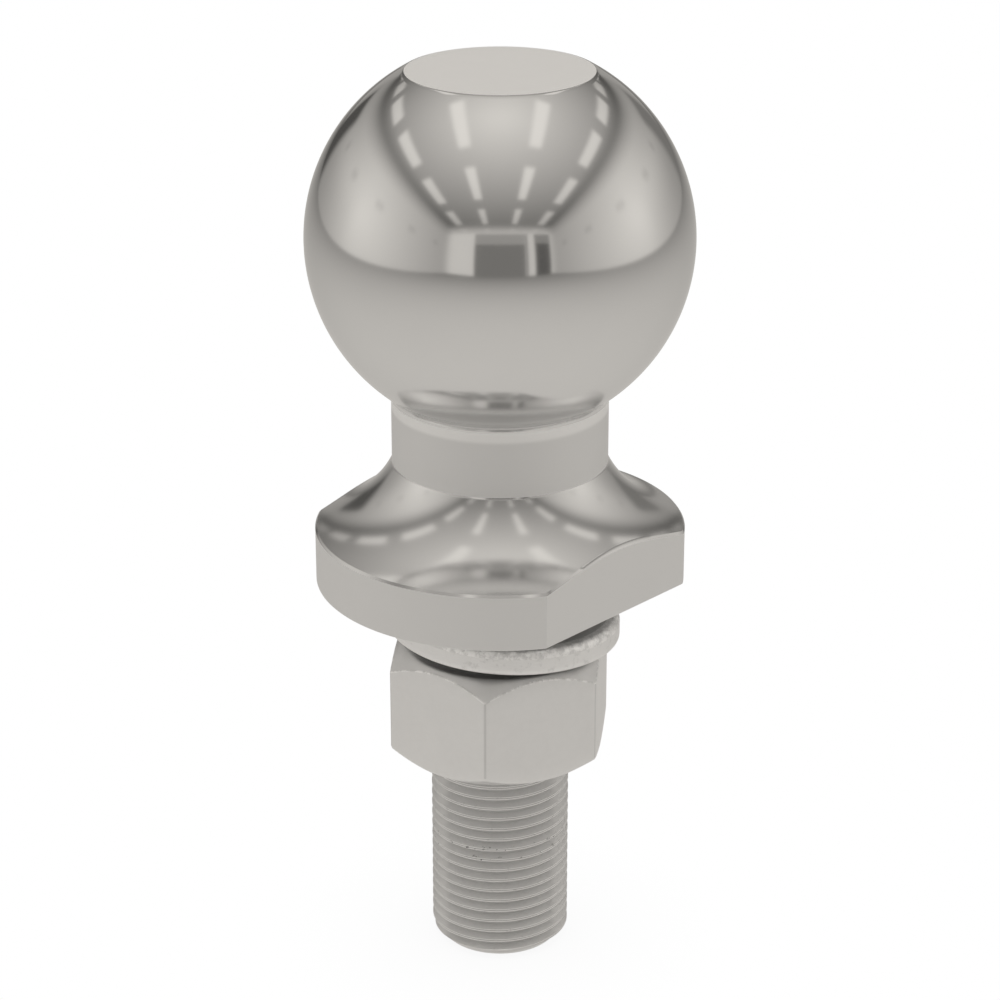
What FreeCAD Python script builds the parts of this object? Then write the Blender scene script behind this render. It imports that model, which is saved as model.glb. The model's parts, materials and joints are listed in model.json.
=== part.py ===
import FreeCAD, Part
import math
import os

from FreeCAD import Vector

# Shank-mounted trailer hitch ball with a spring lock washer and a hex nut.
# Millimetres, +Z up. The origin is the centre of the collar's seat, the face
# that lies on the drawbar, so the ball is above z = 0 and the shank below it.
# The two wrench flats face +X and -X.

# Ball
BALL_R = 25.4
BALL_CENTRE_Z = 47.45
BALL_FLAT_ABOVE_CENTRE = 22.18
# Neck
NECK_R = 14.4
NECK_BOTTOM_Z = 16.9
NECK_FILLET_R = 2.6
# Collar
COLLAR_R = 24.8
COLLAR_RIM_Z = 7.65
COLLAR_FLARE_R = 17.0
COLLAR_BEVEL = 0.25
WRENCH_ACROSS_FLATS = 41.275
# Shank, with a relief groove between the seat and the first thread
SHANK_LENGTH = 54.6
SHANK_END_CHAMFER = 1.5
RELIEF_R = 8.3
RELIEF_LENGTH = 3.0
RELIEF_FILLET_R = 0.8
# Thread: 3/4-16 UNF, right-hand
THREAD_PITCH = 25.4 / 16
THREAD_HALF_ANGLE = math.radians(30)
SHANK_CREST_R = 9.475
SHANK_PITCH_R = 8.935
SHANK_ROOT_R = 8.45
NUT_CREST_R = 8.70
NUT_PITCH_R = 9.083
NUT_ROOT_R = 9.62
# how far a groove's cutter stands past the crests, where its turns stay apart
GROOVE_OVERCUT = 0.1
# Hex nut
NUT_ACROSS_FLATS = 28.0
NUT_HEIGHT = 16.0
NUT_TOP_Z = -9.4
NUT_CORNER_AZIMUTH = 35.3
NUT_FACE_CIRCLE_R = 13.3
NUT_TOP_CORNER_DROP = 2.5
NUT_BOTTOM_CORNER_DROP = 2.2
NUT_COUNTERSINK_R = 9.75
# Spring lock washer: one left-hand coil with its two ends apart
WASHER_INNER_R = 9.9
WASHER_OUTER_R = 16.0
WASHER_THICKNESS = 3.6
WASHER_CORNER_R = 0.8
WASHER_RISE = 5.7
WASHER_TURN = 353.0
WASHER_LOW_END_AZIMUTH = 135.0
WASHER_OFFSET = 0.3
WASHER_OFFSET_AZIMUTH = 132.4
# Gap left where two pieces rest on each other
CONTACT_GAP = 0.05

FULL_TURN = 360.0
UP = Vector(0, 0, 1)
SHANK_END_Z = -SHANK_LENGTH
THREAD_START_Z = SHANK_END_Z - 1.5 * THREAD_PITCH
# the groove's upper end lies in the open relief
THREAD_STOP_Z = -RELIEF_LENGTH / 2 - 0.2


def azimuth_direction(degrees):
    """Level direction at an azimuth, where 0 is -Y and 90 is +X."""
    turn = math.radians(degrees)
    return Vector(math.sin(turn), -math.cos(turn), 0)


def rz(radius, z):
    """Point of a turned profile, in the XZ plane."""
    return Vector(radius, 0, z)


def line(start, end):
    return Part.LineSegment(start, end).toShape()


def arc(start, middle, end):
    return Part.Arc(start, middle, end).toShape()


def arc_about(centre, radius, start, end):
    """Shorter arc from start to end about a centre in the XZ plane."""
    chord_middle = (start + end) / 2 - centre
    middle = centre + chord_middle * (radius / chord_middle.Length)
    return arc(start, middle, end)


def centre_through(start, end, radius):
    """Centre of the circle through two profile points, on the outer upper side."""
    chord = end - start
    half = chord.Length / 2
    across = Vector(-chord.z, 0, chord.x).normalize()
    return (start + end) / 2 + across * math.sqrt(radius**2 - half**2)


def turned(edges):
    """Solid of revolution about Z from a closed chain of profile edges."""
    face = Part.Face(Part.Wire(edges))
    return face.revolve(Vector(0, 0, 0), UP, FULL_TURN)


def groove_profile(radii, half_widths, z):
    """Trapezoid across the axis: half_widths[i] is its half width at radii[i]."""
    inner, outer = radii
    at_inner, at_outer = half_widths
    corners = [
        rz(inner, z - at_inner),
        rz(outer, z - at_outer),
        rz(outer, z + at_outer),
        rz(inner, z + at_inner),
    ]
    return Part.makePolygon(corners + corners[:1])


def helical_sweep(profile, pitch, start_z, height, radius, left_hand=False):
    """Solid swept by a profile in the XZ plane along a helix about Z."""
    helix = Part.makeLongHelix(pitch, height, radius, 0, left_hand)
    helix.translate(UP * start_z)
    return Part.Wire(helix.Edges).makePipeShell([profile], True, True)


def flank_half_width(radius, pitch_radius):
    """Half width of a thread groove that widens outwards."""
    return THREAD_PITCH / 4 + (radius - pitch_radius) * math.tan(THREAD_HALF_ANGLE)


def shank_thread_groove():
    outer = SHANK_CREST_R + GROOVE_OVERCUT
    profile = groove_profile(
        (SHANK_ROOT_R, outer),
        (
            flank_half_width(SHANK_ROOT_R, SHANK_PITCH_R),
            flank_half_width(outer, SHANK_PITCH_R),
        ),
        THREAD_START_Z,
    )
    height = THREAD_STOP_Z - THREAD_START_Z
    return helical_sweep(profile, THREAD_PITCH, THREAD_START_Z, height, SHANK_CREST_R)


def nut_thread_groove():
    """Groove that the shank's ridge runs in, half a pitch from the shank's groove."""
    turns_up = math.floor((NUT_TOP_Z - NUT_HEIGHT - THREAD_START_Z) / THREAD_PITCH) - 1
    start_z = THREAD_START_Z + (turns_up - 0.5) * THREAD_PITCH
    turns = math.ceil(NUT_HEIGHT / THREAD_PITCH) + 4
    inner = NUT_CREST_R - GROOVE_OVERCUT
    profile = groove_profile(
        (inner, NUT_ROOT_R),
        (
            THREAD_PITCH / 2 - flank_half_width(inner, NUT_PITCH_R),
            THREAD_PITCH / 2 - flank_half_width(NUT_ROOT_R, NUT_PITCH_R),
        ),
        start_z,
    )
    return helical_sweep(profile, THREAD_PITCH, start_z, turns * THREAD_PITCH, NUT_CREST_R)


def forging_profile():
    """Half section of the one-piece forging, before its flats and thread."""
    ball_centre = rz(0, BALL_CENTRE_Z)
    ball_top_z = BALL_CENTRE_Z + BALL_FLAT_ABOVE_CENTRE
    ball_top_r = math.sqrt(BALL_R**2 - BALL_FLAT_ABOVE_CENTRE**2)
    fillet_drop = math.sqrt((BALL_R + NECK_FILLET_R) ** 2 - (NECK_R + NECK_FILLET_R) ** 2)
    fillet_centre = rz(NECK_R + NECK_FILLET_R, BALL_CENTRE_Z - fillet_drop)
    neck_top = rz(NECK_R, fillet_centre.z)
    to_fillet = fillet_centre - ball_centre
    ball_bottom = ball_centre + to_fillet * (BALL_R / to_fillet.Length)
    neck_bottom = rz(NECK_R, NECK_BOTTOM_Z)

    rim_top = rz(COLLAR_R, COLLAR_RIM_Z)
    flare_centre = centre_through(neck_bottom, rim_top, COLLAR_FLARE_R)
    bevel_inner_r = COLLAR_R - COLLAR_BEVEL
    bevel_inner_z = flare_centre.z - math.sqrt(
        COLLAR_FLARE_R**2 - (flare_centre.x - bevel_inner_r) ** 2
    )
    bevel_inner = rz(bevel_inner_r, bevel_inner_z)
    bevel_outer = rz(COLLAR_R, COLLAR_RIM_Z - COLLAR_BEVEL)

    seat_inner = rz(RELIEF_R + RELIEF_FILLET_R, 0)
    relief_top = rz(RELIEF_R, -RELIEF_FILLET_R)
    relief_bottom = rz(RELIEF_R, -RELIEF_LENGTH)
    thread_top = rz(SHANK_CREST_R, -RELIEF_LENGTH - (SHANK_CREST_R - RELIEF_R))
    end_chamfer_top = rz(SHANK_CREST_R, SHANK_END_Z + SHANK_END_CHAMFER)
    end_edge = rz(SHANK_CREST_R - SHANK_END_CHAMFER, SHANK_END_Z)
    relief_fillet_centre = rz(seat_inner.x, relief_top.z)

    return [
        line(rz(0, SHANK_END_Z), rz(0, ball_top_z)),
        line(rz(0, ball_top_z), rz(ball_top_r, ball_top_z)),
        arc(rz(ball_top_r, ball_top_z), rz(BALL_R, BALL_CENTRE_Z), ball_bottom),
        arc_about(fillet_centre, NECK_FILLET_R, ball_bottom, neck_top),
        line(neck_top, neck_bottom),
        arc_about(flare_centre, COLLAR_FLARE_R, neck_bottom, bevel_inner),
        line(bevel_inner, bevel_outer),
        line(bevel_outer, rz(COLLAR_R, 0)),
        line(rz(COLLAR_R, 0), seat_inner),
        arc_about(relief_fillet_centre, RELIEF_FILLET_R, seat_inner, relief_top),
        line(relief_top, relief_bottom),
        line(relief_bottom, thread_top),
        line(thread_top, end_chamfer_top),
        line(end_chamfer_top, end_edge),
        line(end_edge, rz(0, SHANK_END_Z)),
    ]


def wrench_flat_cutters():
    """Two blocks that leave parallel flats on the collar."""
    half = WRENCH_ACROSS_FLATS / 2
    depth = COLLAR_R - half + 1
    below, above = -1, NECK_BOTTOM_Z
    size = (depth, 2 * COLLAR_R, above - below)
    right = Part.makeBox(*size, Vector(half, -COLLAR_R, below))
    left = Part.makeBox(*size, Vector(-half - depth, -COLLAR_R, below))
    return [right, left]


def hitch_ball():
    forging = turned(forging_profile())
    for block in wrench_flat_cutters():
        forging = forging.cut(block)
    return forging.cut(shank_thread_groove())


def nut_blank():
    """Hexagonal prism with its corners turned off at both ends."""
    corner_r = NUT_ACROSS_FLATS / math.sqrt(3)
    bottom_z = NUT_TOP_Z - NUT_HEIGHT
    corners = [
        azimuth_direction(NUT_CORNER_AZIMUTH + 60 * n) * corner_r + UP * bottom_z
        for n in range(7)
    ]
    prism = Part.Face(Part.makePolygon(corners)).extrude(UP * NUT_HEIGHT)

    past_corner = 1.2
    run = corner_r - NUT_FACE_CIRCLE_R
    outer_r = NUT_FACE_CIRCLE_R + run * past_corner
    envelope = [
        rz(0, bottom_z),
        rz(NUT_FACE_CIRCLE_R, bottom_z),
        rz(outer_r, bottom_z + NUT_BOTTOM_CORNER_DROP * past_corner),
        rz(outer_r, NUT_TOP_Z - NUT_TOP_CORNER_DROP * past_corner),
        rz(NUT_FACE_CIRCLE_R, NUT_TOP_Z),
        rz(0, NUT_TOP_Z),
        rz(0, bottom_z),
    ]
    return prism.common(turned(Part.makePolygon(envelope).Edges))


def nut_bore():
    """Bore to the thread's crests, with a countersink at each face."""
    bottom_z = NUT_TOP_Z - NUT_HEIGHT
    sink = NUT_COUNTERSINK_R - NUT_CREST_R
    past = 1
    outline = [
        rz(0, bottom_z - past),
        rz(NUT_COUNTERSINK_R + past, bottom_z - past),
        rz(NUT_CREST_R, bottom_z + sink),
        rz(NUT_CREST_R, NUT_TOP_Z - sink),
        rz(NUT_COUNTERSINK_R + past, NUT_TOP_Z + past),
        rz(0, NUT_TOP_Z + past),
        rz(0, bottom_z - past),
    ]
    return turned(Part.makePolygon(outline).Edges)


def hex_nut():
    return nut_blank().cut(nut_bore()).cut(nut_thread_groove())


def section_direction(degrees):
    """Direction in the XZ plane, where 0 is +X and 90 is up."""
    turn = math.radians(degrees)
    return Vector(math.cos(turn), 0, math.sin(turn))


def washer_section(bottom_z):
    """Rounded rectangle in the XZ plane: the washer's wire section."""
    corner = WASHER_CORNER_R
    inner, outer = WASHER_INNER_R + corner, WASHER_OUTER_R - corner
    low, high = bottom_z + corner, bottom_z + WASHER_THICKNESS - corner
    centres = [rz(outer, low), rz(outer, high), rz(inner, high), rz(inner, low)]
    corners = []
    for quarter, centre in enumerate(centres):
        first = 90 * (quarter - 1)
        corners.append(
            [centre + section_direction(first + step) * corner for step in (0, 45, 90)]
        )
    edges = []
    for points, following in zip(corners, corners[1:] + corners[:1]):
        edges.append(arc(*points))
        edges.append(line(points[-1], following[0]))
    return Part.Wire(edges)


def lock_washer():
    """Left-hand coil: its low end rests on the nut, its high end meets the seat."""
    bottom_z = NUT_TOP_Z + CONTACT_GAP
    pitch = WASHER_RISE * FULL_TURN / WASHER_TURN
    middle_r = (WASHER_INNER_R + WASHER_OUTER_R) / 2
    coil = helical_sweep(
        washer_section(bottom_z), pitch, bottom_z, WASHER_RISE, middle_r, left_hand=True
    )
    # a section at +X lies at azimuth 90
    coil.rotate(Vector(0, 0, 0), UP, WASHER_LOW_END_AZIMUTH - 90)
    coil.translate(azimuth_direction(WASHER_OFFSET_AZIMUTH) * WASHER_OFFSET)
    return coil


def main():
    os.makedirs("parts", exist_ok=True)
    pieces = {
        "hitch_ball": hitch_ball(),
        "lock_washer": lock_washer(),
        "hex_nut": hex_nut(),
    }
    for name, shape in pieces.items():
        solid = shape.Solids[0]
        solid.exportStep(f"parts/{name}.step")


main()
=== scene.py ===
import json
import math
from itertools import product

import bmesh
import bpy
import numpy as np
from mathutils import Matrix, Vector, noise


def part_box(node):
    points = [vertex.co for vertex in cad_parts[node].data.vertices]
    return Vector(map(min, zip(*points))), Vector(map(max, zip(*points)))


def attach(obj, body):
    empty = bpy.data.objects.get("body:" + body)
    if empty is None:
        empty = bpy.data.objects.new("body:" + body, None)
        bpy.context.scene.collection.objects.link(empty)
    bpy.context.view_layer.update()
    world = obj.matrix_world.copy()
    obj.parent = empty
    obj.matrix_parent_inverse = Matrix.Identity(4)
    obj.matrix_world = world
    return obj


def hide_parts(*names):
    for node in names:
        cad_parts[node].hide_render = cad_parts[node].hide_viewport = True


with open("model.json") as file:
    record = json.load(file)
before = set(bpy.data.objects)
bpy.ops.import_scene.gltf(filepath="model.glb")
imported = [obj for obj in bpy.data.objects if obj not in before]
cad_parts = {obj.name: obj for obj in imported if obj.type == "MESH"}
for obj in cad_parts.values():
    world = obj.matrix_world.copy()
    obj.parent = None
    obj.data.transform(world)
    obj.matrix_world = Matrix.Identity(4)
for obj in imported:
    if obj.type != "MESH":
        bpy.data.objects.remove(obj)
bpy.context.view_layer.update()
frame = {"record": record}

# Looks of the hitch ball: finer meshes for its three pieces, their finishes, the floor, the
# light and the camera. Lengths are in millimetres and are turned into metres in one place,
# put_mesh. Angles about Z run anticlockwise from +X. The main dimensions are read from the
# frame, and the others are the CAD model's too, apart from detail finer than it holds: the
# lip and seam of the thread's crest, the softened edges of the nut and the wear on the washer.

MM = 0.001
CLOSE = 1e-6
COS_30 = math.cos(math.radians(30))
HEX_STEP = math.radians(60)
MOUNTS = {mount["name"]: mount for mount in frame["record"]["mounts"]}


def mount_place(name):
    """A mount's position."""
    return np.array(MOUNTS[name]["pos_m"]) / MM


def end_heights(node):
    """A node's lowest and highest z, to the nearest micrometre."""
    return [round(corner.z / MM, 3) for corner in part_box(node)]


SHANK_END_Z, BALL_TOP_Z = end_heights("hitch_ball")
BALL_R = MOUNTS["ball"]["dims"]["r_mm"]
BALL_CENTRE_Z = mount_place("ball")[2]
NECK_R = 14.4
NECK_BOTTOM_Z = 16.9
NECK_FILLET_R = 2.6
POLISH_END_Z = 25.93
COLLAR_R = MOUNTS["seat"]["dims"]["r_mm"]
COLLAR_RIM_Z = 7.65
COLLAR_FLARE_R = 17.0
COLLAR_BEVEL = 0.25
HALF_ACROSS_FLATS = mount_place("wrench_flat_px")[0]
SHANK_END_CHAMFER = 1.5
RELIEF_R = 8.3
RELIEF_LENGTH = 3.0
RELIEF_FILLET_R = 0.8
EDGE_BREAK = 0.15

PITCH = 25.4 / 16
THREAD_DATUM_Z = SHANK_END_Z - 1.5 * PITCH
SHANK_CREST_R = MOUNTS["shank"]["dims"]["r_mm"]
SHANK_PITCH_R = 8.935
SHANK_ROOT_R = 8.45
NUT_CREST_R = 8.70
NUT_PITCH_R = 9.083
NUT_ROOT_R = 9.62
THREAD_SLOPE = math.tan(math.radians(30))
CREST_HALF_WIDTH = 0.20
CREST_LIP = 0.07
SEAM_DEPTH = 0.16
SEAM_HALF_WIDTH = 0.10
KNOCKED_THREAD_Z = (-39.2, -37.0)

NUT_BOTTOM_Z, NUT_TOP_Z = end_heights("hex_nut")
NUT_FLAT_X, NUT_FLAT_Y, _ = mount_place("nut_flat")
NUT_APOTHEM = math.hypot(NUT_FLAT_X, NUT_FLAT_Y)
NUT_CORNER_ANGLE = math.atan2(NUT_FLAT_Y, NUT_FLAT_X) - HEX_STEP / 2
NUT_CORNER_ROUND = 0.6
NUT_TOP_SOFTENING = 0.18
NUT_BOTTOM_SOFTENING = 0.4
NUT_FACE_CIRCLE_R = 13.3
NUT_TOP_CORNER_DROP = 2.5
NUT_BOTTOM_CORNER_DROP = 2.2
NUT_COUNTERSINK_R = 9.75
# the lip between a chamfer and a side, as multiples of its softening
LIP_MIDDLE = (0.3, 0.6)
LIP_LENGTH = 1.6

WASHER_BOTTOM_Z, WASHER_TOP_Z = end_heights("lock_washer")
WASHER_INNER_R = 9.9
WASHER_OUTER_R = 16.0
WASHER_THICKNESS = 3.6
WASHER_CORNER_R = 0.8
WASHER_RISE = WASHER_TOP_Z - WASHER_BOTTOM_Z - WASHER_THICKNESS
WASHER_TURN = 353.0
WASHER_LOW_ANGLE = 45.0
WASHER_OFFSET = 0.3
WASHER_OFFSET_ANGLE = 42.4
WEAR_DEPTH = 0.28
WEAR_REACH = 0.75

# The camera's place: from azimuth 0 it would look along +Y.
CAMERA_AZIMUTH = math.radians(42.4)
CAMERA_REACH = 380.89
CAMERA_HEIGHT = 168.5
CAMERA_AIM_Z = 10.7
CAMERA_LENS = 110.76
CAMERA_SENSOR = 36
CAMERA_CLIP = (0.01, 20)
TOWARDS_CAMERA = (math.sin(CAMERA_AZIMUTH), -math.cos(CAMERA_AZIMUTH), 0)
CAMERA_RIGHT = (math.cos(CAMERA_AZIMUTH), math.sin(CAMERA_AZIMUTH), 0)


# ---------------------------------------------------------------- node arithmetic


def feed(tree, slot, operand):
    """Gives a node's input a number, a colour or another node's output."""
    if isinstance(operand, Value):
        tree.links.new(operand.socket, slot)
    elif isinstance(operand, bpy.types.NodeSocket):
        tree.links.new(operand, slot)
    else:
        slot.default_value = operand


class Value:
    """A number in a node tree. Arithmetic on it adds Math nodes."""

    def __init__(self, tree, socket):
        self.tree = tree
        self.socket = socket

    def math(self, operation, *others):
        node = self.tree.nodes.new("ShaderNodeMath")
        node.operation = operation
        for slot, operand in zip(node.inputs, (self, *others)):
            feed(self.tree, slot, operand)
        return Value(self.tree, node.outputs[0])

    def __add__(self, other):
        return self.math("ADD", other)

    def __sub__(self, other):
        return self.math("SUBTRACT", other)

    def __mul__(self, other):
        return self.math("MULTIPLY", other)

    def __truediv__(self, other):
        return self.math("DIVIDE", other)

    def __pow__(self, other):
        return self.math("POWER", other)

    def __abs__(self):
        return self.math("ABSOLUTE")

    __radd__ = __add__
    __rmul__ = __mul__

    def __rsub__(self, other):
        return self * -1 + other

    def fade(self, start, end):
        """0 up to start, 1 from end, and smooth between them. start may be the larger."""
        node = self.tree.nodes.new("ShaderNodeMapRange")
        node.interpolation_type = "SMOOTHSTEP"
        feed(self.tree, node.inputs["Value"], self)
        flip = start > end
        feed(self.tree, node.inputs["From Min"], min(start, end))
        feed(self.tree, node.inputs["From Max"], max(start, end))
        feed(self.tree, node.inputs["To Min"], 1.0 if flip else 0.0)
        feed(self.tree, node.inputs["To Max"], 0.0 if flip else 1.0)
        return Value(self.tree, node.outputs[0])

    def band(self, low, high, soft):
        """1 between low and high, with soft edges."""
        return self.fade(low - soft, low + soft) * self.fade(high + soft, high - soft)

    def between(self, at_zero, at_one):
        """Number from at_zero to at_one as this value goes from 0 to 1."""
        return self * (at_one - at_zero) + at_zero


def hypot(a, b):
    return (a * a + b * b) ** 0.5


def falloff(distance, peak, rest, reach, round_off):
    """peak at distance 0, dying away to rest; round_off is the size of its blunt tip."""
    blunt = (distance * distance + round_off**2) ** 0.5 - round_off
    return (blunt * (-1 / reach)).math("EXPONENT") * (peak - rest) + rest


def part_of_vector(tree, socket):
    node = tree.nodes.new("ShaderNodeSeparateXYZ")
    feed(tree, node.inputs[0], socket)
    return [Value(tree, out) for out in node.outputs]


def dot(tree, socket, fixed):
    node = tree.nodes.new("ShaderNodeVectorMath")
    node.operation = "DOT_PRODUCT"
    feed(tree, node.inputs[0], socket)
    node.inputs[1].default_value = fixed
    return Value(tree, node.outputs["Value"])


def mix_colour(tree, factor, first, second):
    node = tree.nodes.new("ShaderNodeMix")
    node.data_type = "RGBA"
    feed(tree, node.inputs[0], factor)
    feed(tree, node.inputs[6], first)
    feed(tree, node.inputs[7], second)
    return node.outputs[2]


def grey(level):
    """Neutral colour of a given brightness."""
    return (level, level, level, 1.0)


# ---------------------------------------------------------------- light

# The ball stands in a long pale hall. Places in it are measured from the ball, and the unit
# is the ceiling's height above it.
HALL_HALF_WIDTH = 1.38
HALL_NEAR_END = 2.35
HALL_FAR_END = 4.4
HALL_FLOOR_DEPTH = 0.2
HALL_EDGE_SHARPNESS = 24
FAR_END_LEVEL = 0.45
FLOOR_LEVEL = 0.72
FLOOR_HORIZON_DROP = 0.716
FLOOR_HORIZON_RATE = 5
SIDE_CHANGEOVER = 0.01
SMALLEST_PART = 1e-3

CEILING_EDGE = (1.0, 1.3)
CEILING_EDGE_SHADE = 0.63
STRIP_LEVEL = 1.02
STRIP_REACH = 2.5
STRIP_PITCH = 0.90
STRIP_PHASE = 0.5
STRIP_ROWS = (0.335, 0.99)
BETWEEN_ROWS = (0.6, 0.7)
STRIP_HALF_WIDTHS = (0.062, 0.088)
STRIP_SIDE_SOFTNESS = 0.5
STRIP_HALF_LENGTH = 0.31
STRIP_END_SOFTNESS = 0.05

SIDE_GLOW_HEIGHT = 0.25
SIDE_FAR = (0.1, -0.4)
SIDE_LOW = (0.5, 0.0)
SIDE_FAR_LOW_STRETCH = 1.7
SIDE_TOP = (0.72, 0.98)
SIDE_TOP_SHADE = 0.78
PANE_PITCH = 0.77
PANE_PHASE = 0.21
PANE_SIDES = (0.13, 0.05)
PANE_HEIGHTS = (0.41, 0.50)
PANE_SHADE = 0.14
OPENING_LEVELS = (0.1, 0.24)
OPENING_NEAR_SIDE = (-1.7, -2.4)
OPENING_FAR_SIDE = (-4.1, -3.5)
OPENING_TOP = (0.65, 0.45)

END_WALL_LEVELS = (0.74, 0.60)
END_WALL_STEP = (0.83, 0.88)
HEADER_HEIGHT = 0.84
DOOR_HEIGHT = 0.57
SLOT_HEIGHT = 0.59
DOORWAY_HALF_WIDTH = 0.62
DOOR_HALF_WIDTH = 0.60

BACKGROUND_LEVEL = 1.0
LIGHT_TINT = (1.04, 1.0, 0.94, 1.0)


def from_nearest(along, pitch, phase):
    """Distance to the nearest of a row of marks that are a pitch apart."""
    return abs((along / pitch + phase).math("FRACT") - 0.5) * pitch


def ceiling_light(across, along):
    """Pale ceiling, brightest overhead, with four rows of light strips."""
    distance = hypot(across, along)
    plain = falloff(distance, peak=0.89, rest=0.10, reach=1.17, round_off=0.14)
    plain = plain * across.fade(*CEILING_EDGE).between(1, CEILING_EDGE_SHADE)
    strip = ((distance / STRIP_REACH) ** 2 + 1) ** -1 * STRIP_LEVEL
    offsets = [abs(across - row) for row in STRIP_ROWS]
    sideways = offsets[0].math("MINIMUM", offsets[1])
    half_width = across.fade(*BETWEEN_ROWS).between(*STRIP_HALF_WIDTHS)
    lit = (sideways / half_width).fade(1 + STRIP_SIDE_SOFTNESS, 1 - STRIP_SIDE_SOFTNESS)
    lit = lit * from_nearest(along, STRIP_PITCH, STRIP_PHASE).fade(
        STRIP_HALF_LENGTH + STRIP_END_SOFTNESS, STRIP_HALF_LENGTH - STRIP_END_SOFTNESS
    )
    return plain + (strip - plain) * lit


def side_wall_light(along, height, right):
    """Pale side wall, brightest abreast of the ball, with a dark opening far down it."""
    low_and_far = along.fade(*SIDE_FAR) * height.fade(*SIDE_LOW)
    stretch = low_and_far.between(1, SIDE_FAR_LOW_STRETCH)
    distance = hypot(along * stretch, height - SIDE_GLOW_HEIGHT)
    plain = falloff(distance, peak=0.90, rest=0.35, reach=1.2, round_off=0.2)
    plain = plain * height.fade(*SIDE_TOP).between(1, SIDE_TOP_SHADE)
    pane = from_nearest(along, PANE_PITCH, PANE_PHASE).fade(*PANE_SIDES)
    plain = plain * (1 - pane * height.band(*PANE_HEIGHTS, soft=0.05) * PANE_SHADE)
    opening = along.fade(*OPENING_NEAR_SIDE) * along.fade(*OPENING_FAR_SIDE)
    opening = opening * height.fade(*OPENING_TOP)
    dark = right.fade(-SIDE_CHANGEOVER, SIDE_CHANGEOVER).between(*OPENING_LEVELS)
    return plain + (dark - plain) * opening


def near_end_light(across, height):
    """End wall behind the camera: pale panels, a wide dark doorway and a dark slot."""

    def filled(wall, level, left, right, top, side_soft=0.04, top_soft=0.02):
        inside = across.band(left, right, side_soft)
        inside = inside * height.fade(top + top_soft, top - top_soft)
        return wall + (level - wall) * inside

    wall = height.fade(*END_WALL_STEP).between(*END_WALL_LEVELS)
    wall = filled(wall, level=0.30, left=0.62, right=1.32, top=HEADER_HEIGHT, side_soft=0.03)
    wall = filled(wall, level=0.72, left=0.68, right=0.86, top=HEADER_HEIGHT)
    wall = filled(wall, level=0.13, left=0.90, right=1.27, top=SLOT_HEIGHT, top_soft=0.03)
    wall = filled(
        wall, level=0.39, left=-DOORWAY_HALF_WIDTH, right=DOORWAY_HALF_WIDTH, top=HEADER_HEIGHT
    )
    return filled(
        wall, level=0.23, left=-DOOR_HALF_WIDTH, right=DOOR_HALF_WIDTH, top=DOOR_HEIGHT
    )


def hall_light(tree):
    """Brightness by direction inside the hall, seen from the ball's place."""
    direction = tree.nodes.new("ShaderNodeTexCoord").outputs["Generated"]
    right = dot(tree, direction, CAMERA_RIGHT)
    near = dot(tree, direction, TOWARDS_CAMERA)
    up = dot(tree, direction, (0, 0, 1))
    across = abs(right).math("MAXIMUM", SMALLEST_PART)
    along = abs(near).math("MAXIMUM", SMALLEST_PART)
    rise = abs(up).math("MAXIMUM", SMALLEST_PART)
    is_near = near.fade(-SIDE_CHANGEOVER, SIDE_CHANGEOVER)
    is_up = up.fade(-SIDE_CHANGEOVER, SIDE_CHANGEOVER)
    end = is_near.between(HALL_FAR_END, HALL_NEAR_END)
    storey = is_up.between(HALL_FLOOR_DEPTH, 1.0)

    to_side = (across / HALL_HALF_WIDTH) ** HALL_EDGE_SHARPNESS
    to_end = (along / end) ** HALL_EDGE_SHARPNESS
    to_storey = (rise / storey) ** HALL_EDGE_SHARPNESS
    ceiling = ceiling_light(across / rise, near / rise)
    near_horizon = (rise * -FLOOR_HORIZON_RATE).math("EXPONENT")
    floor = FLOOR_LEVEL - near_horizon * FLOOR_HORIZON_DROP
    side = side_wall_light(
        near / across * HALL_HALF_WIDTH, up / across * HALL_HALF_WIDTH, right
    )
    near_end = near_end_light(right / along * HALL_NEAR_END, up / along * HALL_NEAR_END)
    ends = near_end * is_near + (1 - is_near) * FAR_END_LEVEL
    storeys = ceiling * is_up + (1 - is_up) * floor
    total = to_side + to_end + to_storey
    return (side * to_side + ends * to_end + storeys * to_storey) / total


def build_world():
    """The hall's light falls on the object, and the camera sees a plain pale backdrop."""
    world = bpy.data.worlds.new("hall")
    world.use_nodes = True
    tree = world.node_tree
    tree.nodes.clear()
    brightness = hall_light(tree)
    seen = Value(tree, tree.nodes.new("ShaderNodeLightPath").outputs["Is Camera Ray"])
    background = tree.nodes.new("ShaderNodeBackground")
    tint = mix_colour(tree, seen, LIGHT_TINT, grey(1.0))
    feed(tree, background.inputs["Color"], tint)
    feed(tree, background.inputs["Strength"], brightness + (BACKGROUND_LEVEL - brightness) * seen)
    out = tree.nodes.new("ShaderNodeOutputWorld")
    tree.links.new(background.outputs[0], out.inputs[0])
    bpy.context.scene.world = world


# ---------------------------------------------------------------- materials

EDGE_REFLECTION = 0.86
# chrome seen in another mirror: brighter, which keeps double reflections pale
REFLECTED_CHROME = 0.95
MIRROR_ROUGHNESS = 0.075
FOOT_ROUGHNESS = 0.10
FLARE_ROUGHNESS = 0.06
HAZE_ROUGHNESS = 0.02
HAIRLINE_ROUGHNESS = 0.02
BALL_FOOT_HAZE_Z = (38, 28)
FLARE_CHANGE_Z = NECK_BOTTOM_Z + 2
# painted sheen: width and grey of a paler band on the neck just under the polished fillet
SHEEN_BAND_WIDTH = 1.5
SHEEN_BAND_GREY = 0.90
CREST_GREY = 0.97
CREST_BRIGHT_DEPTH = (0.04, 0.005)
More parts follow.
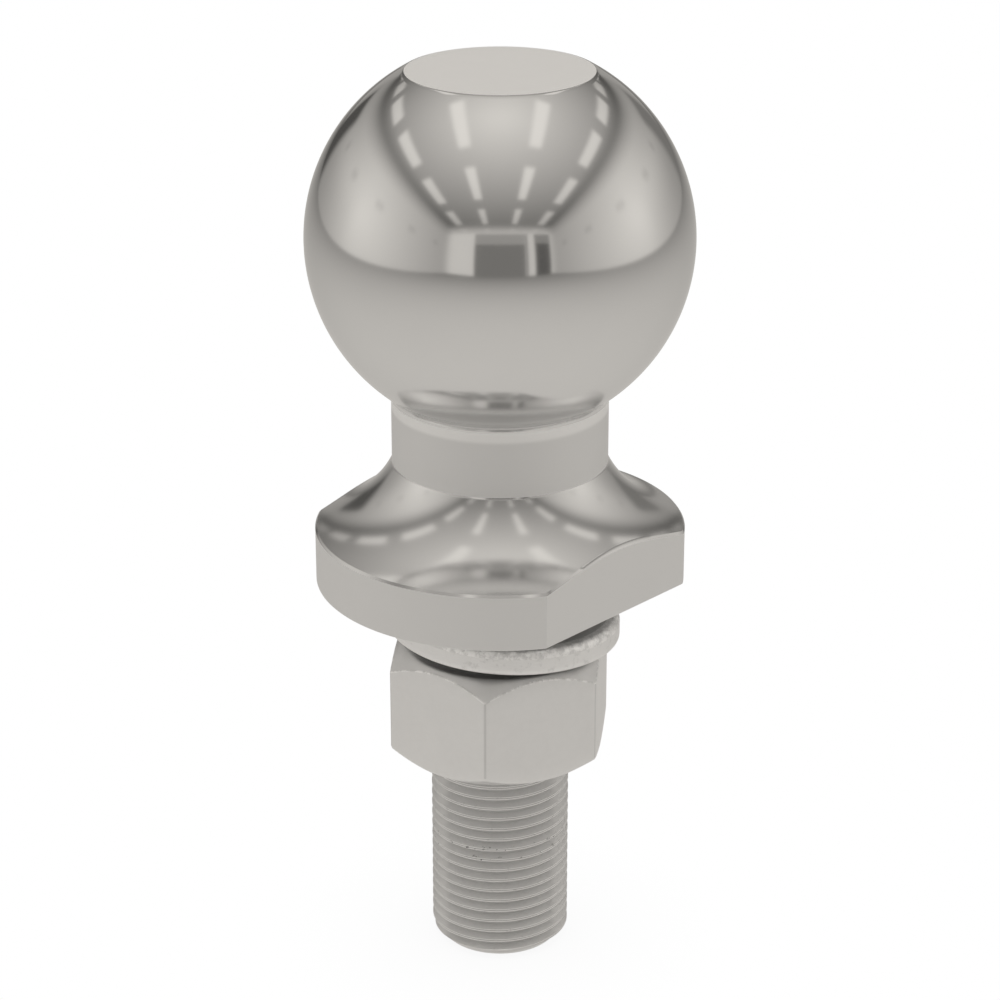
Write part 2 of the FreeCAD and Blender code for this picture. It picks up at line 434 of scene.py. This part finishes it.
# painted sheen towards the thread's outline: its grey and how much of it
OUTLINE_SHEEN_GREY = 0.84
OUTLINE_SHEEN_SHARE = 0.85
SPECK_DEPTH = 0.5
SPECK_GREY = 0.05
SPECKS_ELSEWHERE = 0.12
CORNER_LINE_DEPTH = (0.13, 0.10)
CORNER_LINE_SHARE = 0.28
CORNER_LINE_GREY = 0.40
# painted shade in gaps: how the ambient occlusion maps to the mask
GAP_SHADE_FADE = (0.62, 0.2)
EDGE_GAP_SHADE_FADE = (0.5, 0.15)


class Finish:
    """A metal's material, built up step by step."""

    def __init__(self, name):
        self.material = bpy.data.materials.new(name)
        self.material.use_nodes = True
        self.tree = self.material.node_tree
        self.shader = self.tree.nodes["Principled BSDF"]
        self.shader.inputs["Metallic"].default_value = 1.0
        self.shader.inputs["Specular Tint"].default_value = grey(EDGE_REFLECTION)
        self.place = self.tree.nodes.new("ShaderNodeTexCoord").outputs["Object"]
        self.x, self.y, self.z = (part / MM for part in part_of_vector(self.tree, self.place))
        self.radius = hypot(self.x, self.y)

    def noise(self, size, detail=2.0, roughness=0.5, squeeze=None):
        """Noise from 0 to 1 with features of about a size in millimetres.

        With squeeze the pattern is that much finer along Z, so it's drawn out round the axis."""
        place = self.place
        if squeeze is not None:
            mapping = self.tree.nodes.new("ShaderNodeMapping")
            mapping.inputs["Scale"].default_value = (1, 1, squeeze)
            feed(self.tree, mapping.inputs["Vector"], place)
            place = mapping.outputs[0]
        node = self.tree.nodes.new("ShaderNodeTexNoise")
        feed(self.tree, node.inputs["Vector"], place)
        node.inputs["Scale"].default_value = 1 / (size * MM)
        node.inputs["Detail"].default_value = detail
        node.inputs["Roughness"].default_value = roughness
        return Value(self.tree, node.outputs[0])

    def greys(self, share, dark, light):
        """Grey between two levels."""
        return mix_colour(self.tree, share, grey(dark), grey(light))

    def towards(self, base, share, level):
        """Colour drawn by a share from base towards a grey."""
        return mix_colour(self.tree, share, base, grey(level))

    def colour(self, socket):
        feed(self.tree, self.shader.inputs["Base Color"], socket)

    def metallic(self, share):
        """Share of mirror-like metal; the rest scatters light evenly, as a blasted face does."""
        feed(self.tree, self.shader.inputs["Metallic"], share)

    def gaps(self, reach, closed):
        """1 in gaps narrower than a reach in millimetres, 0 in the open: the mask for painted
        shade.
        """
        node = self.tree.nodes.new("ShaderNodeAmbientOcclusion")
        node.inputs["Distance"].default_value = reach * MM
        return Value(self.tree, node.outputs["AO"]).fade(*closed)

    def nut_corners(self):
        """1 on the nut's six upright edges."""
        reach = None
        for corner in range(3):
            angle = NUT_CORNER_ANGLE + HEX_STEP * corner
            outward = abs(self.x * math.cos(angle) + self.y * math.sin(angle))
            reach = outward if reach is None else reach.math("MAXIMUM", outward)
        tip = NUT_APOTHEM / COS_30
        return reach.fade(*(tip - depth for depth in CORNER_LINE_DEPTH))

    def facing(self):
        """1 where a round piece's side faces the viewer, 0 at its outline."""
        incoming = self.tree.nodes.new("ShaderNodeNewGeometry").outputs["Incoming"]
        in_x, in_y, _ = part_of_vector(self.tree, incoming)
        aligned = (in_x * self.x + in_y * self.y) / (hypot(in_x, in_y) * self.radius)
        return aligned.math("MAXIMUM", 0.0)

    def roughness(self, value):
        feed(self.tree, self.shader.inputs["Roughness"], value)

    def bump(self, height, depth):
        """Raises the surface by height (0 to 1) times depth in millimetres."""
        node = self.tree.nodes.new("ShaderNodeBump")
        node.inputs["Distance"].default_value = depth * MM
        feed(self.tree, node.inputs["Height"], height)
        previous = self.shader.inputs["Normal"]
        if previous.is_linked:
            self.tree.links.new(previous.links[0].from_socket, node.inputs["Normal"])
        self.tree.links.new(node.outputs[0], self.shader.inputs["Normal"])


def chrome():
    """Polished chrome plate with faint hairlines, hazier from the ball's foot down."""
    finish = Finish("chrome_polished")
    haze = finish.noise(9.0, detail=3)
    hairlines = finish.noise(0.5, detail=1, squeeze=9)
    base = finish.greys(haze, dark=0.645, light=0.675)
    reflected = finish.tree.nodes.new("ShaderNodeLightPath").outputs["Is Glossy Ray"]
    finish.colour(finish.towards(base, reflected, REFLECTED_CHROME))
    foot = finish.z.fade(*BALL_FOOT_HAZE_Z) * finish.z.fade(NECK_BOTTOM_Z, FLARE_CHANGE_Z)
    flare = finish.z.fade(FLARE_CHANGE_Z, NECK_BOTTOM_Z)
    rough = foot * FOOT_ROUGHNESS + flare * FLARE_ROUGHNESS + haze * HAZE_ROUGHNESS
    rough = rough + hairlines.fade(0.6, 0.8) * HAIRLINE_ROUGHNESS
    finish.roughness(rough + MIRROR_ROUGHNESS)
    finish.bump(hairlines, depth=0.0005)
    return finish.material


def satin():
    """Turned surface under the same plate, left satin, with a band of painted sheen under the ball.
    """
    finish = Finish("chrome_satin")
    lines = finish.noise(0.35, detail=2, squeeze=14)
    cloud = finish.noise(5.0, detail=3)
    level = lines * 0.5 + cloud * 0.5
    base = finish.greys(level, dark=0.735, light=0.785)
    # painted sheen: a paler band just under the polish line stands in for light on the blend into
    # the fillet
    sheen_band = finish.z.band(POLISH_END_Z - SHEEN_BAND_WIDTH, POLISH_END_Z, soft=0.35)
    finish.colour(finish.towards(base, sheen_band, SHEEN_BAND_GREY))
    finish.metallic(0.55)
    finish.roughness(level.between(0.52, 0.66))
    finish.bump(lines, depth=0.004)
    return finish.material


def blasted():
    """Pale, even face on top of the ball, with a fine grain and a few faint scuffs."""
    finish = Finish("chrome_blasted")
    grain = finish.noise(0.22, detail=3)
    cloud = finish.noise(3.5, detail=3, roughness=0.6)
    scuffs = finish.noise(1.3, detail=4, roughness=0.7).fade(0.60, 0.75)
    finish.colour(finish.greys(cloud, dark=0.97, light=1.0))
    finish.metallic(0.0)
    finish.roughness(grain.between(0.5, 0.64) - scuffs * 0.12)
    finish.bump(grain, depth=0.005)
    finish.bump(scuffs, depth=0.01)
    return finish.material


def thread_metal():
    """Rolled thread: grey flanks, paler crests, a painted sheen towards its outline, and specks of
    dirt on the knocked turns.
    """
    finish = Finish("thread_rolled")
    crest = finish.radius.fade(*(SHANK_CREST_R - depth for depth in CREST_BRIGHT_DEPTH))
    cloud = finish.noise(3.0, detail=3)
    grain = finish.noise(0.25, detail=2)
    streaks = finish.noise(0.5, detail=3, squeeze=7)
    level = cloud * 0.4 + streaks * 0.6
    base = finish.greys(level, dark=0.61, light=0.77)
    base = finish.towards(base, crest, CREST_GREY)
    # painted sheen: the thread turns paler towards its outline, standing in for bright walls caught
    # at a grazing angle
    outline = finish.facing().fade(0.64, 0.48)
    base = finish.towards(base, outline * OUTLINE_SHEEN_SHARE, OUTLINE_SHEEN_GREY)
    knocked = finish.z.band(*KNOCKED_THREAD_Z, soft=0.4)
    specks = finish.noise(0.8, detail=3, roughness=0.7).fade(0.60, 0.66)
    specks = specks * knocked.between(SPECKS_ELSEWHERE, 1)
    specks = specks * finish.radius.fade(SHANK_CREST_R - SPECK_DEPTH, SHANK_CREST_R)
    finish.colour(finish.towards(base, specks, SPECK_GREY))
    finish.metallic(0.5)
    finish.roughness(grain.between(0.38, 0.52))
    finish.bump(streaks, depth=0.008)
    finish.bump(grain, depth=0.004)
    return finish.material


def zinc_washer():
    """Zinc over sheared spring steel: blotchy and scored, with painted shade deep in its gaps."""
    finish = Finish("zinc_washer")
    cloud = finish.noise(4.0, detail=4, roughness=0.6)
    blots = finish.noise(1.6, detail=4, roughness=0.65).fade(0.52, 0.68)
    grain = finish.noise(0.4, detail=3)
    scores = finish.noise(0.8, detail=2, squeeze=5)
    level = cloud * 0.6 + scores * 0.4
    base = finish.greys(level, dark=0.76, light=0.90)
    base = finish.towards(base, blots * 0.35, 0.50)
    # painted shade: darker deep in gaps, where the collar and nut shade the washer
    base = finish.towards(base, finish.gaps(9.0, GAP_SHADE_FADE) * 0.8, 0.16)
    finish.colour(base)
    finish.metallic(0.75)
    finish.roughness(level.between(0.26, 0.52))
    finish.bump(grain, depth=0.012)
    finish.bump(scores, depth=0.02)
    return finish.material


def zinc_nut():
    """Matte zinc with a fine grain, and a thin dull line down each upright edge."""
    finish = Finish("zinc_nut")
    cloud = finish.noise(6.0, detail=4, roughness=0.6)
    mottle = finish.noise(0.9, detail=3, roughness=0.6)
    grain = finish.noise(0.3, detail=3)
    level = cloud * 0.5 + mottle * 0.5
    base = finish.greys(level, dark=0.78, light=0.88)
    base = finish.towards(base, finish.nut_corners() * CORNER_LINE_SHARE, CORNER_LINE_GREY)
    finish.colour(base)
    finish.metallic(0.6)
    finish.roughness(level.between(0.5, 0.68))
    finish.bump(grain, depth=0.006)
    return finish.material


def zinc_turned():
    """The nut's end faces and chamfers: brighter metal, with painted shade where the washer shades
    it.
    """
    finish = Finish("zinc_turned")
    rings = finish.noise(0.6, detail=2, squeeze=4)
    cloud = finish.noise(2.5, detail=4, roughness=0.6)
    base = finish.greys(cloud, dark=0.76, light=0.92)
    # painted shade: darker where the washer closes over the nut's faces
    base = finish.towards(base, finish.gaps(5.0, GAP_SHADE_FADE) * 0.55, 0.12)
    finish.colour(base)
    finish.metallic(0.85)
    finish.roughness(cloud.between(0.34, 0.46))
    finish.bump(rings, depth=0.006)
    return finish.material


def zinc_edge():
    """Rubbed edges of the nut and the washer: bright in patches, dull between them, with painted
    shade deep in gaps.
    """
    finish = Finish("zinc_edge")
    rubbed = finish.noise(0.9, detail=4, roughness=0.7).fade(0.42, 0.60)
    grain = finish.noise(0.3, detail=3)
    base = finish.greys(rubbed, dark=0.76, light=0.96)
    # painted shade: edges darker deep in gaps
    base = finish.towards(base, finish.gaps(9.0, EDGE_GAP_SHADE_FADE) * 0.7, 0.16)
    finish.colour(base)
    finish.metallic(0.65)
    finish.roughness(rubbed.between(0.5, 0.36))
    finish.bump(grain, depth=0.01)
    return finish.material


# ---------------------------------------------------------------- meshes

# How finely the pieces are divided.
COLUMN_STEP = math.radians(2)
BALL_ROWS = 110
FLARE_ROWS = 44
FILLET_ROWS = 10
NUT_SIDE_COLUMNS = 36
NUT_TIP = math.radians(0.7)
WASHER_STATIONS = 600
WASHER_ROWS = 6
# the washer section's columns that make up its upper outer corner
UPPER_EDGE_COLUMNS = (11, 19)


def put_mesh(name, sheets, materials, sharp_angle=28):
    """One closed mesh object from sheets of quads that share their borders.

    A sheet is (points, shift, surface): points is an array of rows of columns of
    positions, shift says how many rows up its last column meets its first, or None for an
    open sheet, and surface is the material's number."""
    vertices, faces, surfaces = [], [], []
    for points, shift, surface in sheets:
        rows, columns = points.shape[:2]
        number = np.arange(rows * columns).reshape(rows, columns) + len(vertices)
        if shift is not None:
            meeting = np.minimum(np.arange(rows) + shift, rows - 1)
            number = np.column_stack([number, number[meeting, 0]])
        corners = [number[:-1, :-1], number[:-1, 1:], number[1:, 1:], number[1:, :-1]]
        quads = np.stack(corners, -1).reshape(-1, 4).tolist()
        vertices.extend((points.reshape(-1, 3) * MM).tolist())
        faces.extend(quads)
        surfaces.extend([surface] * len(quads))
    mesh = bpy.data.meshes.new(name)
    mesh.from_pydata(vertices, [], faces)
    mesh.polygons.foreach_set("material_index", surfaces)
    work = bmesh.new()
    work.from_mesh(mesh)
    bmesh.ops.remove_doubles(work, verts=work.verts, dist=CLOSE)
    bmesh.ops.recalc_face_normals(work, faces=work.faces)
    if work.calc_volume(signed=True) < 0:
        bmesh.ops.reverse_faces(work, faces=work.faces)
    work.to_mesh(mesh)
    work.free()
    mesh.shade_smooth()
    mesh.set_sharp_from_angle(angle=math.radians(sharp_angle))
    for material in materials:
        mesh.materials.append(material)
    piece = bpy.data.objects.new(name, mesh)
    bpy.context.scene.collection.objects.link(piece)
    return piece


def turned_sheet(outline, angles, surface):
    """Sheet round Z. outline is rows of (radius, z), each a number or one per angle."""
    rows = []
    for radius, z in outline:
        radius = np.broadcast_to(radius, angles.shape)
        z = np.broadcast_to(z, angles.shape)
        rows.append(np.column_stack([radius * np.cos(angles), radius * np.sin(angles), z]))
    return np.array(rows), 0, surface


def straight(start, end, steps):
    """Outline rows from one (radius, z) to another."""
    share = np.linspace(0, 1, steps + 1)
    return [(start[0] + (end[0] - start[0]) * s, start[1] + (end[1] - start[1]) * s) for s in share]


def arc(centre, radius, first, last, steps):
    """Outline rows along a circle; its angles may differ from column to column."""
    return [
        (centre[0] + radius * np.cos(a), centre[1] + radius * np.sin(a))
        for a in (first + (last - first) * s for s in np.linspace(0, 1, steps + 1))
    ]


def threaded_sheet(angles, phases, radii, low_z, high_z, limit, surface):
    """Helical sheet: radii are the thread's radius at phases of one pitch.

    limit(radius, z) keeps the thread inside the piece's ends, and below low_z and above
    high_z the rows close up into one ring."""
    turns = math.ceil((high_z - low_z) / PITCH) + 3
    first_turn = math.floor((low_z - THREAD_DATUM_Z) / PITCH) - 1
    phase_rows = (np.arange(turns)[:, None] + first_turn + np.array(phases)[None, :]).ravel()
    radius_rows = np.tile(radii, turns)
    z = THREAD_DATUM_Z + PITCH * (phase_rows[:, None] + angles[None, :] / (2 * math.pi))
    z = np.clip(z, low_z, high_z)
    radius = limit(np.broadcast_to(radius_rows[:, None], z.shape), z)
    points = np.stack([radius * np.cos(angles), radius * np.sin(angles), z], -1)
    return points, len(phases), surface


# ---- the forging


def forging_angles():
    """Columns round the forging, with one on each end of each wrench flat."""
    flat_end = math.acos(HALF_ACROSS_FLATS / COLLAR_R)
    stops = [-flat_end, flat_end, math.pi - flat_end, math.pi + flat_end, 2 * math.pi - flat_end]
    parts = [
        np.linspace(a, b, round((b - a) / COLUMN_STEP), endpoint=False)
        for a, b in zip(stops, stops[1:])
    ]
    return np.concatenate(parts)


def ball_outlines():
    """Top flat, polished ball and fillet, then the satin rest of the neck."""
    top_angle = math.asin((BALL_TOP_Z - BALL_CENTRE_Z) / BALL_R)
    start_angle = top_angle - EDGE_BREAK / BALL_R
    top_r = BALL_R * math.cos(top_angle)
    meet = -math.acos((NECK_R + NECK_FILLET_R) / (BALL_R + NECK_FILLET_R))
    fillet_z = BALL_CENTRE_Z + (BALL_R + NECK_FILLET_R) * math.sin(meet)
    fillet_centre = (NECK_R + NECK_FILLET_R, fillet_z)
    polish_end = math.pi - math.asin((POLISH_END_Z - fillet_z) / NECK_FILLET_R)
    centre = (0, BALL_CENTRE_Z)
    ball_start = arc(centre, BALL_R, start_angle, start_angle, 1)[0]
    top_edge = (top_r - EDGE_BREAK, BALL_TOP_Z)
    top = straight((0, BALL_TOP_Z), top_edge, 6)
    lip = straight(top_edge, ball_start, 1)
    ball = arc(centre, BALL_R, start_angle, meet, BALL_ROWS)
    ball += arc(fillet_centre, NECK_FILLET_R, math.pi + meet, polish_end, FILLET_ROWS)[1:]
    neck = arc(fillet_centre, NECK_FILLET_R, polish_end, math.pi, 8)
    neck += straight((NECK_R, fillet_z), (NECK_R, NECK_BOTTOM_Z), 5)[1:]
    return top, lip, ball, neck


def flare_centre():
    """Centre of the flare's arc, from the foot of the neck to the rim."""
    start = np.array([NECK_R, NECK_BOTTOM_Z])
    end = np.array([COLLAR_R, COLLAR_RIM_Z])
    chord = end - start
    half = np.linalg.norm(chord) / 2
    across = np.array([-chord[1], chord[0]]) / (2 * half)
    return (start + end) / 2 + across * math.sqrt(COLLAR_FLARE_R**2 - half**2)


def collar_outlines(angles):
    """Polished flare, its bevel, and the satin rim and seat, cut by the two flats."""
    centre = flare_centre()
    facing = np.maximum(np.abs(np.cos(angles)), CLOSE)
    edge_r = np.minimum(COLLAR_R, HALF_ACROSS_FLATS / facing)
    on_flat = HALF_ACROSS_FLATS / facing < COLLAR_R + CLOSE
    inset = np.where(on_flat, 1 / facing, 1.0)

    def flare_angle(radius):
        return math.pi + np.arccos((centre[0] - radius) / COLLAR_FLARE_R)

    first = flare_angle(NECK_R)
    last = flare_angle(edge_r - COLLAR_BEVEL * inset)
    flare = arc(centre, COLLAR_FLARE_R, first, last, FLARE_ROWS)
    corner_z = centre[1] + COLLAR_FLARE_R * np.sin(flare_angle(edge_r))
    rim_top = (edge_r, corner_z - COLLAR_BEVEL)
    bevel = straight(flare[-1], rim_top, 1)
    rim_foot = (edge_r, EDGE_BREAK)
    seat_edge = (edge_r - EDGE_BREAK * inset, 0.0)
    seat_inner = (RELIEF_R + RELIEF_FILLET_R, 0.0)
    rim = straight(rim_top, rim_foot, 8) + straight(rim_foot, seat_edge, 1)[1:]
    rim += straight(seat_edge, seat_inner, 8)[1:]
    relief_centre = (RELIEF_R + RELIEF_FILLET_R, -RELIEF_FILLET_R)
    rim += arc(relief_centre, RELIEF_FILLET_R, math.pi / 2, math.pi, 5)[1:]
    rim += straight(rim[-1], (RELIEF_R, -RELIEF_LENGTH), 2)[1:]
    return flare, bevel, rim


def shank_sheets(angles, threaded, plain):
    """Rolled thread with a seam along its crest, and the plain end face."""
    root_half = 0.25 + (SHANK_ROOT_R - SHANK_PITCH_R) * THREAD_SLOPE / PITCH
    crest_half = CREST_HALF_WIDTH / PITCH
    top_half = (CREST_HALF_WIDTH - CREST_LIP / 2) / PITCH
    seam_half = SEAM_HALF_WIDTH / PITCH
    top = SHANK_CREST_R
    shoulder = top - CREST_LIP
    crest = [
        (-crest_half, shoulder),
        (-top_half, top),
        (-seam_half, top),
        (0, top - SEAM_DEPTH),
        (seam_half, top),
        (top_half, top),
        (crest_half, shoulder),
    ]
    phases = [-root_half, root_half] + [0.5 + phase for phase, _ in crest]
    radii = [SHANK_ROOT_R] * 2 + [radius for _, radius in crest]
    end_r = SHANK_CREST_R - SHANK_END_CHAMFER

    def limit(radius, z):
        radius = np.minimum(radius, end_r + (z - SHANK_END_Z))
        return np.minimum(radius, RELIEF_R + np.maximum(-RELIEF_LENGTH - z, 0))

    thread = threaded_sheet(angles, phases, radii, SHANK_END_Z, -RELIEF_LENGTH, limit, threaded)
    end = turned_sheet(straight((end_r, SHANK_END_Z), (0, SHANK_END_Z), 4), angles, plain)
    return [thread, end]


def build_forging():
    angles = forging_angles()
    top, lip, ball, neck = ball_outlines()
    flare, bevel, rim = collar_outlines(angles)
    polished, plain, threaded, pale = range(4)
    sheets = [
        turned_sheet(top, angles, pale),
        turned_sheet(lip, angles, polished),
        turned_sheet(ball, angles, polished),
        turned_sheet(neck, angles, plain),
        turned_sheet(flare, angles, polished),
        turned_sheet(bevel, angles, polished),
        turned_sheet(rim, angles, plain),
    ]
    sheets += shank_sheets(angles, threaded, plain)
    materials = [chrome(), satin(), thread_metal(), blasted()]
    piece = put_mesh("hitch_ball_forging", sheets, materials)
    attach(piece, "ball_and_shank")
    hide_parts("hitch_ball")


# ---- the nut


def nut_angles():
    """Columns round the nut, closer together at its six corners."""
    side = np.linspace(NUT_TIP, HEX_STEP - NUT_TIP, NUT_SIDE_COLUMNS)
    part = np.concatenate([[0.0, NUT_TIP / 2], side, [HEX_STEP - NUT_TIP / 2]])
    return np.concatenate([NUT_CORNER_ANGLE + HEX_STEP * n + part for n in range(6)])


def nut_edge_radius(angles):
    """Radius of the hexagon at each angle, with its corners rounded."""
    from_corner = (angles - NUT_CORNER_ANGLE) % HEX_STEP
    from_corner = np.minimum(from_corner, HEX_STEP - from_corner)
    plain = NUT_APOTHEM / np.cos(math.radians(30) - from_corner)
    hub = (NUT_APOTHEM - NUT_CORNER_ROUND) / COS_30
    tangent = math.atan2(NUT_CORNER_ROUND / 2, hub + NUT_CORNER_ROUND * COS_30)
    inside = np.maximum(NUT_CORNER_ROUND**2 - (hub * np.sin(from_corner)) ** 2, 0)
    rounded = hub * np.cos(from_corner) + np.sqrt(inside)
    return np.where(from_corner <= tangent, rounded, plain)


def build_nut():
    angles = nut_angles()
    edge_r = nut_edge_radius(angles)
    run = NUT_APOTHEM / COS_30 - NUT_FACE_CIRCLE_R

    def half_outline(end_z, drop, soft):
        """Rows from the bore's edge out over the chamfer to the side: face, then lip."""
        inwards = -1 if end_z > NUT_BOTTOM_Z else 1

        def chamfered(radius):
            return radius, end_z + inwards * (radius - NUT_FACE_CIRCLE_R) * drop / run

        face = straight((NUT_COUNTERSINK_R, end_z), (NUT_FACE_CIRCLE_R - soft, end_z), 3)
        face += straight(chamfered(NUT_FACE_CIRCLE_R + soft), chamfered(edge_r - soft), 3)
        lip_r, lip_z = face[-1]
        middle = (edge_r - LIP_MIDDLE[0] * soft, lip_z + inwards * LIP_MIDDLE[1] * soft)
        side_start = (edge_r, lip_z + inwards * LIP_LENGTH * soft)
        return face, [(lip_r, lip_z), middle, side_start]

    upper_face, upper_lip = half_outline(NUT_TOP_Z, NUT_TOP_CORNER_DROP, NUT_TOP_SOFTENING)
    lower_face, lower_lip = half_outline(
        NUT_BOTTOM_Z, NUT_BOTTOM_CORNER_DROP, NUT_BOTTOM_SOFTENING
    )
    plain, turned, rubbed = range(3)
    sheets = [
        turned_sheet(upper_face, angles, turned),
        turned_sheet(upper_lip, angles, rubbed),
        turned_sheet(straight(upper_lip[-1], lower_lip[-1], 8), angles, plain),
        turned_sheet(lower_lip, angles, plain),
        turned_sheet(lower_face, angles, turned),
    ]

    crest_half = 0.25 + (NUT_CREST_R - NUT_PITCH_R) * THREAD_SLOPE / PITCH
    root_half = 0.25 - (NUT_ROOT_R - NUT_PITCH_R) * THREAD_SLOPE / PITCH
    phases = [-crest_half, crest_half, 0.5 - root_half, 0.5 + root_half]
    radii = [NUT_CREST_R, NUT_CREST_R, NUT_ROOT_R, NUT_ROOT_R]

    def limit(radius, z):
        sunk = NUT_COUNTERSINK_R - np.minimum(NUT_TOP_Z - z, z - NUT_BOTTOM_Z)
        return np.maximum(radius, sunk)

    sheets.append(
        threaded_sheet(angles, phases, radii, NUT_BOTTOM_Z, NUT_TOP_Z, limit, plain)
    )
    piece = put_mesh("hex_nut_zinc", sheets, [zinc_nut(), zinc_turned(), zinc_edge()])
    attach(piece, "nut")
    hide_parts("hex_nut")


# ---- the washer

# Dents in the worn edge: how many to a millimetre and how deep, as a share of the wear.
COARSE_DENTS = 0.8
COARSE_SHARE = 0.5
FINE_DENTS = 2.1
FINE_DENTS_SHIFT = Vector((7, 3, 5))
FINE_SHARE = 0.55
FINE_START = 0.05
LOW_END_WEAR = 1.5
LOW_END_FADE = 14
DOWNWARD_WEAR = 0.6
LEAST_WEAR = 0.02


def washer_section():
    """Rounded rectangle round the wire, as (radius, height) points in order."""
    corner = WASHER_CORNER_R
    inner, outer = WASHER_INNER_R + corner, WASHER_OUTER_R - corner
    low, high = corner, WASHER_THICKNESS - corner
    centres = [(outer, low), (outer, high), (inner, high), (inner, low)]
    points = []
    for quarter, centre in enumerate(centres):
        first = math.radians(90 * (quarter - 1))
        last = first + math.pi / 2
        points += arc(centre, corner, first, last, WASHER_ROWS)
        following = centres[(quarter + 1) % 4]
        next_start = arc(following, corner, last, last, 1)[0]
        points += straight(points[-1], next_start, WASHER_ROWS)[1:-1]
    return np.array(points, float)


def worn(points, section, share):
    """Dents along the washer's upper outer edge, heaviest near its low end."""
    corner = np.array([WASHER_OUTER_R - WEAR_DEPTH, WASHER_THICKNESS - WEAR_DEPTH])
    from_corner = np.linalg.norm(section - corner, axis=1)
    near_edge = np.exp(-((from_corner / WEAR_REACH) ** 2))
    result = points.copy()
    worn_columns = np.flatnonzero(near_edge > LEAST_WEAR)
    for row, column in product(range(len(share)), worn_columns):
        place = Vector(points[row, column])
        coarse = noise.noise(place * COARSE_DENTS)
        fine = noise.noise(place * FINE_DENTS + FINE_DENTS_SHIFT)
        dent = max(coarse, 0) * COARSE_SHARE + max(fine - FINE_START, 0) * FINE_SHARE
        heavier = 1 + LOW_END_WEAR * math.exp(-share[row] * LOW_END_FADE)
        depth = min(dent * heavier, 1) * WEAR_DEPTH * near_edge[column]
        radius = math.hypot(place.x, place.y)
        result[row, column, :2] *= 1 - depth / radius
        result[row, column, 2] -= depth * DOWNWARD_WEAR
    return result


def build_washer():
    section = washer_section()
    share = np.linspace(0, 1, WASHER_STATIONS + 1)
    angles = math.radians(WASHER_LOW_ANGLE) - math.radians(WASHER_TURN) * share
    base_z = WASHER_BOTTOM_Z + WASHER_RISE * share
    x = np.outer(np.cos(angles), section[:, 0])
    y = np.outer(np.sin(angles), section[:, 0])
    z = base_z[:, None] + section[None, :, 1]
    points = worn(np.stack([x, y, z], -1), section, share)
    offset = math.radians(WASHER_OFFSET_ANGLE)
    points += np.array([math.cos(offset), math.sin(offset), 0]) * WASHER_OFFSET
    plain, rubbed = range(2)
    edge_start, edge_end = UPPER_EDGE_COLUMNS
    rest = np.concatenate([points[:, edge_end:], points[:, : edge_start + 1]], 1)
    sheets = [
        (points[:, edge_start : edge_end + 1], None, rubbed),
        (rest, None, plain),
    ]
    closed = np.concatenate([points, points[:, :1]], 1)
    for end in (closed[0], closed[-1]):
        middle = np.broadcast_to(end[:-1].mean(0), end.shape)
        sheets.append((np.array([end, (end + middle) / 2, middle]), None, plain))
    materials = [zinc_washer(), zinc_edge()]
    piece = put_mesh("spring_washer_coil", sheets, materials, sharp_angle=40)
    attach(piece, "washer")
    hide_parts("lock_washer")


# ---------------------------------------------------------------- floor and camera

FLOOR_R = 2000
FLOOR_GAP = 0.02
FLOOR_SHADOW_REACH = 24
FLOOR_SHADOW_LEVEL = 0.92


def build_floor():
    """Pale round floor under the shank's end, with a painted soft shadow in its glow, clear from
    below.
    """
    mesh = bpy.data.meshes.new("floor")
    work = bmesh.new()
    bmesh.ops.create_circle(work, cap_ends=True, radius=FLOOR_R * MM, segments=96)
    work.to_mesh(mesh)
    work.free()
    floor = bpy.data.objects.new("floor", mesh)
    floor.location.z = (SHANK_END_Z - FLOOR_GAP) * MM
    bpy.context.scene.collection.objects.link(floor)
    material = bpy.data.materials.new("floor_pale")
    material.use_nodes = True
    tree = material.node_tree
    tree.nodes.clear()
    # painted shadow: ambient occlusion dims the floor's glow near the shank's end
    shade = tree.nodes.new("ShaderNodeAmbientOcclusion")
    shade.inputs["Distance"].default_value = FLOOR_SHADOW_REACH * MM
    open_sky = Value(tree, shade.outputs["AO"])
    glow = tree.nodes.new("ShaderNodeEmission")
    strength = open_sky.between(FLOOR_SHADOW_LEVEL, BACKGROUND_LEVEL)
    feed(tree, glow.inputs["Strength"], strength)
    clear = tree.nodes.new("ShaderNodeBsdfTransparent")
    blend = tree.nodes.new("ShaderNodeMixShader")
    seen = Value(tree, tree.nodes.new("ShaderNodeLightPath").outputs["Is Camera Ray"])
    below = Value(tree, tree.nodes.new("ShaderNodeNewGeometry").outputs["Backfacing"])
    feed(tree, blend.inputs[0], seen * (1 - below))
    tree.links.new(clear.outputs[0], blend.inputs[1])
    tree.links.new(glow.outputs[0], blend.inputs[2])
    out = tree.nodes.new("ShaderNodeOutputMaterial")
    tree.links.new(blend.outputs[0], out.inputs[0])
    mesh.materials.append(material)


def build_camera():
    camera = bpy.data.objects.new("camera", bpy.data.cameras.new("camera"))
    camera.data.lens = CAMERA_LENS
    camera.data.sensor_width = CAMERA_SENSOR
    camera.data.clip_start, camera.data.clip_end = CAMERA_CLIP
    eye = Vector(TOWARDS_CAMERA) * CAMERA_REACH + Vector((0, 0, CAMERA_HEIGHT))
    camera.location = eye * MM
    gaze = Vector((0, 0, CAMERA_AIM_Z)) - eye
    camera.rotation_euler = gaze.to_track_quat("-Z", "Y").to_euler()
    bpy.context.scene.collection.objects.link(camera)
    bpy.context.scene.camera = camera


build_forging()
build_nut()
build_washer()
build_world()
build_floor()
build_camera()
bpy.context.scene.view_settings.view_transform = "Standard"
